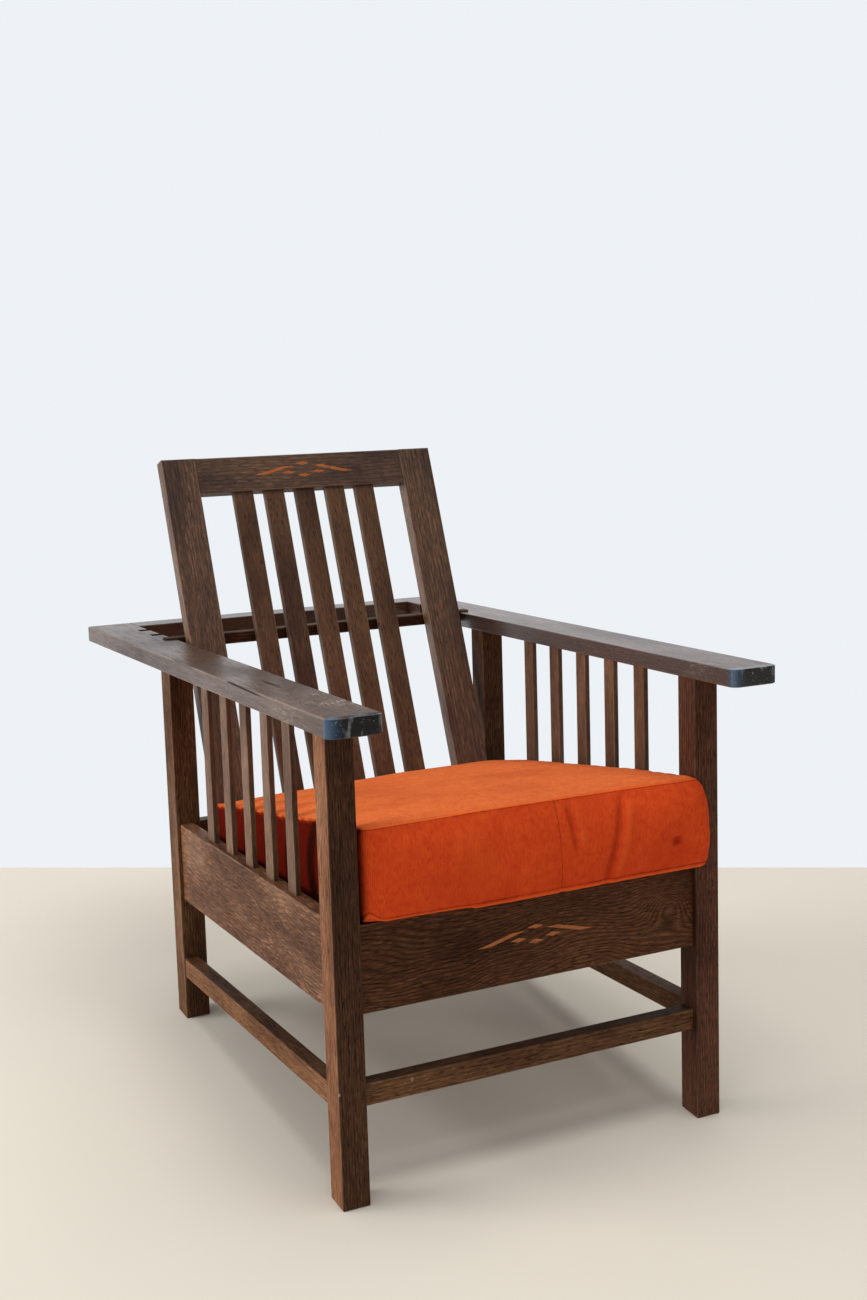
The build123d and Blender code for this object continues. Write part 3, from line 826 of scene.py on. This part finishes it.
def blockPoint(shares):
    # Place of a grid point, given as shares of the block's width, depth and height
    across = (2 * shares[0] - 1) * (cushion["halfWidth"] - cushion["inset"])
    front = cushionFront(across) + cushion["inset"]
    high = cushionDeck(0.3)
    for _ in range(4):
        rear = backFace(high) - cushion["backGap"] - cushion["backInset"]
        deep = front + shares[1] * (rear - front)
        floor = cushionDeck(deep)
        top = cushionTop(across, deep) - cushion["topInset"]
        crown = cushion["crown"] * math.sin(math.pi * shares[0]) * math.sin(math.pi * shares[1])
        high = floor + shares[2] * (top + crown - floor)
    across, deep = roundPlan(across, deep, high)
    return fromFrame(across, deep, high)


def cushionBlock():
    # A closed block of square cells, laid between the measured edges
    lengths = (2 * cushion["halfWidth"], cushion["length"], cushion["height"])
    counts = [max(2, round(length / cushion["cell"] / 2)) for length in lengths]
    mesh = bmesh.new()
    corners = {}

    def corner(spot):
        if spot not in corners:
            corners[spot] = mesh.verts.new(blockPoint([place / count for place, count in zip(spot, counts)]))
        return corners[spot]

    for axis in range(3):
        first, second = [other for other in range(3) if other != axis]
        for end in (0, counts[axis]):
            for a in range(counts[first]):
                for b in range(counts[second]):
                    ring = []
                    for stepA, stepB in ((0, 0), (1, 0), (1, 1), (0, 1)):
                        spot = [0, 0, 0]
                        spot[axis], spot[first], spot[second] = end, a + stepA, b + stepB
                        ring.append(corner(tuple(spot)))
                    mesh.faces.new(ring)
    bmesh.ops.recalc_face_normals(mesh, faces=mesh.faces)
    data = bpy.data.meshes.new("seat_cushion_velvet")
    mesh.to_mesh(data)
    mesh.free()
    piece = bpy.data.objects.new("seat_cushion_velvet", data)
    bpy.context.scene.collection.objects.link(piece)
    return piece


def applyAll(piece):
    bpy.ops.object.select_all(action="DESELECT")
    piece.select_set(True)
    bpy.context.view_layer.objects.active = piece
    for modifier in list(piece.modifiers):
        bpy.ops.object.modifier_apply(modifier=modifier.name)


def cushionFaces(across, deep, high):
    # Distances inward from the block's front, rear, sides, top and bottom
    return (
        deep - cushionFront(across),
        backFace(high) - cushion["backGap"] - deep,
        cushion["halfWidth"] - abs(across),
        cushionTop(across, deep) - high,
        high - cushionDeck(deep),
    )


def writeLayer(piece, name, values):
    layer = piece.data.attributes.new(name, "FLOAT", "POINT")
    layer.data.foreach_set("value", values)


def readLayer(piece, name):
    return [item.value for item in piece.data.attributes[name].data]


def addSeamDistances(piece):
    # Kept on the mesh before it swells, so the seams stay where they were cut
    inset = cushion["inset"]
    rows = []
    for vertex in piece.data.vertices:
        across, deep, high = toFrame(vertex.co)
        front, rear, side, top, bottom = cushionFaces(across, deep, high)
        radius = cornerRadius(across, front, rear)
        # Distance inward from the upright faces, round their corners too
        near = min(front, rear) - inset
        side = side - inset
        if near < radius and side < radius:
            wall = radius - math.hypot(radius - near, radius - side)
            turned = softStep(math.atan2(radius - side, radius - near) / (math.pi / 2) * 1.6 - 0.6)
        else:
            wall = min(near, side)
            turned = 1.0 if side < near else 0.0
        wall = max(0, wall)
        top, bottom = max(0, top - inset / 2), max(0, bottom)
        # Each seam counts on its own half of the block only
        topSeam = top - wall if top < bottom else cushion["farSeam"]
        bottomSeam = bottom - wall if bottom <= top else cushion["farSeam"]
        upper = softStep((0.0015 - topSeam) / 0.005) if top < bottom else 0.0
        onSide = turned * (1 - upper) * (1 - softStep(-bottomSeam / 0.003))
        rows.append((topSeam, bottomSeam, upper, onSide))
    for name, values in zip(("topSeam", "bottomSeam", "panelTop", "panelSide"), zip(*rows)):
        writeLayer(piece, name, values)


def swellCushion(piece):
    seams = zip(readLayer(piece, "topSeam"), readLayer(piece, "bottomSeam"))
    group = piece.vertex_groups.new(name="edges")
    for index, (top, bottom) in enumerate(seams):
        distance = min(abs(top), abs(bottom))
        hold = max(0.0, 1 - distance / cushion["edgeReach"]) ** 2 * cushion["edgeHold"]
        group.add([index], hold, "REPLACE")
    cloth = piece.modifiers.new("puff", "CLOTH")
    settings = cloth.settings
    settings.quality = cushion["quality"]
    settings.mass = cushion["mass"]
    settings.use_pressure = True
    settings.uniform_pressure_force = cushion["pressure"]
    settings.effector_weights.gravity = 0
    settings.vertex_group_mass = "edges"
    settings.tension_stiffness = settings.compression_stiffness = cushion["stretchStiffness"]
    settings.shear_stiffness = cushion["shearStiffness"]
    settings.bending_stiffness = cushion["bendStiffness"]
    cloth.collision_settings.use_collision = False
    scene = bpy.context.scene
    for frameNumber in range(1, cushion["frames"] + 1):
        scene.frame_set(frameNumber)
    applyAll(piece)
    scene.frame_set(1)


def fitSwelling(piece, before):
    # The cloth gives the puffed shape; its height on each side is set to what the photograph shows
    moves = []
    for vertex, start in zip(piece.data.vertices, before):
        move = vertex.co - start
        if move.length > cushion["cap"]:
            move = move.normalized() * cushion["cap"]
        moves.append((move.x, move.dot(frameDepth), move.dot(frameUp)))
    swell = cushion["swell"]
    print("cloth moved", [round(1000 * max(abs(move[axis]) for move in moves), 1) for axis in range(3)], "mm")
    side = swell["side"] / max(1e-6, max(abs(move[0]) for move in moves))
    front = swell["front"] / max(1e-6, max(-move[1] for move in moves))
    rear = swell["rear"] / max(1e-6, max(move[1] for move in moves))
    top = swell["top"] / max(1e-6, max(move[2] for move in moves))
    for vertex, start, (across, deep, high) in zip(piece.data.vertices, before, moves):
        deep *= front if deep < 0 else rear
        high = high * top if high > 0 else 0
        vertex.co = start + Vector((across * side, 0, 0)) + frameDepth * deep + frameUp * high


def lineDistance(across, high, first, last):
    # Signed distance to a line on the front, and how far along it the point lies
    run = (last[0] - first[0], last[1] - first[1])
    length = math.hypot(*run)
    offset = (across - first[0], high - first[1])
    along = (offset[0] * run[0] + offset[1] * run[1]) / length
    aside = (offset[0] * run[1] - offset[1] * run[0]) / length
    return aside, along / length


def bulgeFront(across, deep, high):
    # In front of the right leg the corner bulges out past it, with a small ear at its foot
    rise = (high - cushionDeck(deep)) / cushion["height"]
    inFront = softStep((-0.0015 - deep) / 0.007)
    atRight = softStep((across - 0.13) / 0.10)
    belly = 0.22 + 0.78 * math.sin(math.pi * min(1, max(0, 0.20 + 0.74 * rise)))
    across += cushion["rightGrow"] * softStep((across - 0.19) / 0.05)
    deep -= cushion["rightPush"] * softStep((across - 0.02) / 0.2) * softStep((0.02 - deep) / 0.02) * belly
    across += (cushion["bulge"] * belly + cushion["ear"] * hump(rise - 0.02, 0.07)) * inFront * atRight
    # The front edge hangs over the apron, and its left corner is drawn up
    lower = softStep((0.30 - rise) / 0.3) * softStep((0.004 - deep) / 0.008)
    high -= (cushion["hang"][0] - cushion["hang"][1] * softStep(across / 0.2)) * lower
    corner = min(1, max(0, (-0.214 - across) / 0.036))
    drawn = max(0, 1 - rise / 0.5) * softStep((0.014 - deep) / 0.016)
    high += cushion["drawnUp"] * corner * corner * drawn
    return across, deep, high


def seamLip(seam, distance, gather):
    # A seam stands proud as a thin lip with a gathered channel beside it
    height, width = seam["lip"]
    depth, channelWidth = seam["channel"]
    amount, reach = seam["gather"]
    lip = height * hump(distance, width)
    lip -= depth * hump(distance - cushion["channelPlace"], channelWidth)
    return lip + amount * gather * hump(distance, reach) * softStep(distance / 0.003)


def creaseDepth(across, high, facing):
    crease = 0
    for first, last, width, depth in cushion["wrinkles"]:
        aside, along = lineDistance(across, high, first, last)
        ends = softStep((along + 0.15) / 0.3) * softStep((1.15 - along) / 0.3)
        crease += depth * hump(aside, width) * ends * facing
    return crease


def keepClear(across, deep, high):
    # Kept off the legs, the side slats, the deck and the back
    limit = cushion["legHalf"] if deep < cushion["legRear"] else cushion["bodyHalf"]
    limit += cushion["frontRoom"] * softStep((-0.0012 - deep) / 0.006)
    soft = cushion["softLimit"]
    if abs(across) > limit - soft:
        across = math.copysign(limit - soft + soft * math.tanh((abs(across) - limit + soft) / soft), across)
    if deep > 0.004:
        high = max(high, cushionDeck(deep))
    return across, min(deep, backFace(high) - cushion["backGap"]), high


def shapeCushion(piece):
    seams = cushion["seams"]
    distances = {name: readLayer(piece, name) for name in seams}
    frontSeam, creases = [], []
    normals = [vertex.normal.copy() for vertex in piece.data.vertices]
    for vertex, normal in zip(piece.data.vertices, normals):
        across, deep, high = bulgeFront(*toFrame(vertex.co))
        gather = noise.noise(Vector((across * 130, deep * 130, high * 40)))
        lip = sum(seamLip(seams[name], distances[name][vertex.index], gather) for name in seams)
        point = fromFrame(across, deep, high) + normal * lip
        across, deep, high = toFrame(point)
        # Wrinkles and the joining seam on the front
        facing = softStep((-normal.dot(frameDepth) - 0.35) / 0.3)
        aside = lineDistance(across, high, *cushion["frontSeam"])[0]
        frontSeam.append(aside if facing > 0.2 else 0.1)
        crease = creaseDepth(across, high, facing)
        creases.append(crease)
        push = crease - cushion["frontSeamDepth"] * hump(aside, 0.0035) * facing
        # Slow waves all over, calm beside the deck
        calm = softStep((high - cushionDeck(deep) - 0.01) / 0.02)
        slow, quick = cushion["waves"]
        wave = noise.noise(Vector((across * 9, deep * 9 + 3, high * 7))) * slow
        wave += noise.noise(Vector((across * 24, deep * 24, high * 15 + 5))) * quick
        point += normal * (push + wave * calm)
        vertex.co = fromFrame(*keepClear(*toFrame(point)))
    writeLayer(piece, "frontSeam", frontSeam)
    writeLayer(piece, "crease", creases)
    piece.data.update()


def makeCushion():
    piece = cushionBlock()
    remesh = piece.modifiers.new("even", "REMESH")
    remesh.mode = "VOXEL"
    remesh.voxel_size = cushion["voxel"]
    applyAll(piece)
    addSeamDistances(piece)
    before = [vertex.co.copy() for vertex in piece.data.vertices]
    swellCushion(piece)
    fitSwelling(piece, before)
    finer = piece.modifiers.new("finer", "SUBSURF")
    finer.levels = finer.render_levels = 1
    applyAll(piece)
    shapeCushion(piece)
    bpy.ops.object.shade_smooth()
    piece.vertex_groups.clear()
    return piece


# Rust velvet with worn ribs of pile
velvet = {
    "base": (0.74, 0.063, 0.0150),
    "worn": (0.90, 0.112, 0.0200),
    "shade": (0.50, 0.026, 0.0070),
    "topPaintedSheen": (0.82, 1.66, 2.05),
    "sidePaintedShade": (0.088, 0.015, 0.015),
    "thread": (0.10, 0.010, 0.004),
    # Painted highlight for the proud seam lips and the ridges of the folds
    "lip": (0.92, 0.150, 0.026),
    "foldShade": (0.30, 0.013, 0.004),
    "ribGap": 0.0021,
    # Where each stitch line lies beside its seam, and its half width
    "stitches": {"frontSeam": (0.0, 0.0009), "topSeam": (0.0026, 0.0010), "bottomSeam": (0.0050, 0.0011)},
    "stitchAmount": 0.62,
    "lipWidths": {"topSeam": 0.0020, "bottomSeam": 0.0032},
    "lipAmount": 0.6,
    "finish": {
        "Roughness": 0.85,
        "Specular IOR Level": 0.04,
        "Sheen Weight": 0.08,
        "Sheen Roughness": 0.45,
        "Sheen Tint": (1.0, 0.40, 0.12, 1),
    },
    "bump": (0.6, 0.0005),
}


def readAttribute(tree, name):
    return addNode(tree, "ShaderNodeAttribute", attribute_name=name).outputs["Fac"]


def addRibs(tree, level, side):
    # Ribs of pile run up the front and back along the top
    scale = 2 * math.pi / (20 * velvet["ribGap"])
    shape = {"Vector": level, "Scale": scale, "Distortion": 2.2, "Detail": 2.0, "Detail Scale": 3.0}
    waves = [
        addNode(tree, "ShaderNodeTexWave", shape, bands_direction=direction).outputs["Fac"]
        for direction in ("X", "Y")
    ]
    return addMix(tree, side, *waves)


def addStitches(tree, level):
    # Stitch lines under the top edge, over the bottom edge and down the join
    stitches = []
    for name, (place, width) in velvet["stitches"].items():
        away = addMath(tree, "ABSOLUTE", addMath(tree, "SUBTRACT", readAttribute(tree, name), place))
        stitches.append(addMath(tree, "SUBTRACT", 1.0, addMath(tree, "DIVIDE", away, width), True))
    seam = addMath(tree, "MAXIMUM", addMath(tree, "MAXIMUM", stitches[0], stitches[1]), stitches[2])
    return times(tree, seam, greyRamp(tree, addNoise(tree, level, 150.0), 0.34, 0.54, 0.45, 1.0))


def velvetCloth():
    material, tree, shader, coords = newMaterial("rust_velvet")
    level = addMapping(tree, coords, Rotation=(frameTilt, 0, 0))
    side = readAttribute(tree, "panelSide")
    ribs = addRibs(tree, level, side)
    streak = addNoise(tree, addMapping(tree, level, Scale=(1, 0.5, 0.45)), 260.0, 3.0, 0.6)
    mottle = addNoise(tree, level, 70.0, 5.0, 0.72)
    broad = addNoise(tree, level, 8.0)
    colour = addMix(tree, greyRamp(tree, mottle, 0.30, 0.74), velvet["base"], velvet["worn"])
    colour = addMix(tree, greyRamp(tree, streak, 0.50, 0.30, 0, 0.38), colour, velvet["shade"])
    colour = addMix(tree, greyRamp(tree, streak, 0.56, 0.74, 0, 0.30), colour, velvet["worn"])
    colour = addMix(tree, greyRamp(tree, broad, 0.56, 0.36, 0, 0.30), colour, velvet["shade"])
    colour = addMix(tree, greyRamp(tree, ribs, 0.5, 0.0, 0, 0.32), colour, velvet["shade"])
    # Painted shade in the folds and a painted highlight on their ridges
    crease = readAttribute(tree, "crease")
    colour = addMix(tree, greyRamp(tree, crease, -0.0006, -0.0036, 0, 0.48), colour, velvet["foldShade"])
    colour = addMix(tree, greyRamp(tree, crease, 0.0006, 0.0030, 0, 0.32), colour, velvet["lip"])
    # Painted sheen and light make the top paler, and painted shade darkens the sides
    for share, tint in ((readAttribute(tree, "panelTop"), "topPaintedSheen"), (side, "sidePaintedShade")):
        colour = addMix(tree, share, colour, addMix(tree, 1.0, colour, velvet[tint], "MULTIPLY"))
    seam = addStitches(tree, level)
    colour = addMix(tree, times(tree, seam, velvet["stitchAmount"]), colour, velvet["thread"])
    # The proud lips beside the seams catch the light
    lips = [
        greyRamp(tree, addMath(tree, "ABSOLUTE", readAttribute(tree, name)), width, width * 0.4)
        for name, width in velvet["lipWidths"].items()
    ]
    lip = times(tree, addMath(tree, "MAXIMUM", *lips), addMath(tree, "SUBTRACT", 1.0, side))
    colour = addMix(tree, times(tree, lip, velvet["lipAmount"]), colour, velvet["lip"])
    setInputs(tree, shader, {"Base Color": colour, **velvet["finish"]})
    pile = addNoise(tree, level, 900.0)
    height = addMath(tree, "ADD", times(tree, ribs, 0.6), times(tree, pile, 0.5))
    height = addMath(tree, "ADD", height, times(tree, streak, 0.8))
    height = addMath(tree, "SUBTRACT", height, times(tree, seam, 2.0))
    addBump(tree, shader, height, *velvet["bump"])
    return material


seatCushion = makeCushion()
setMaterial(seatCushion, velvetCloth())
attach(seatCushion, "chair_frame")
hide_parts("seat_cushion")
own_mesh(seatCushion)
print("cushion made:", len(seatCushion.data.polygons), "faces")
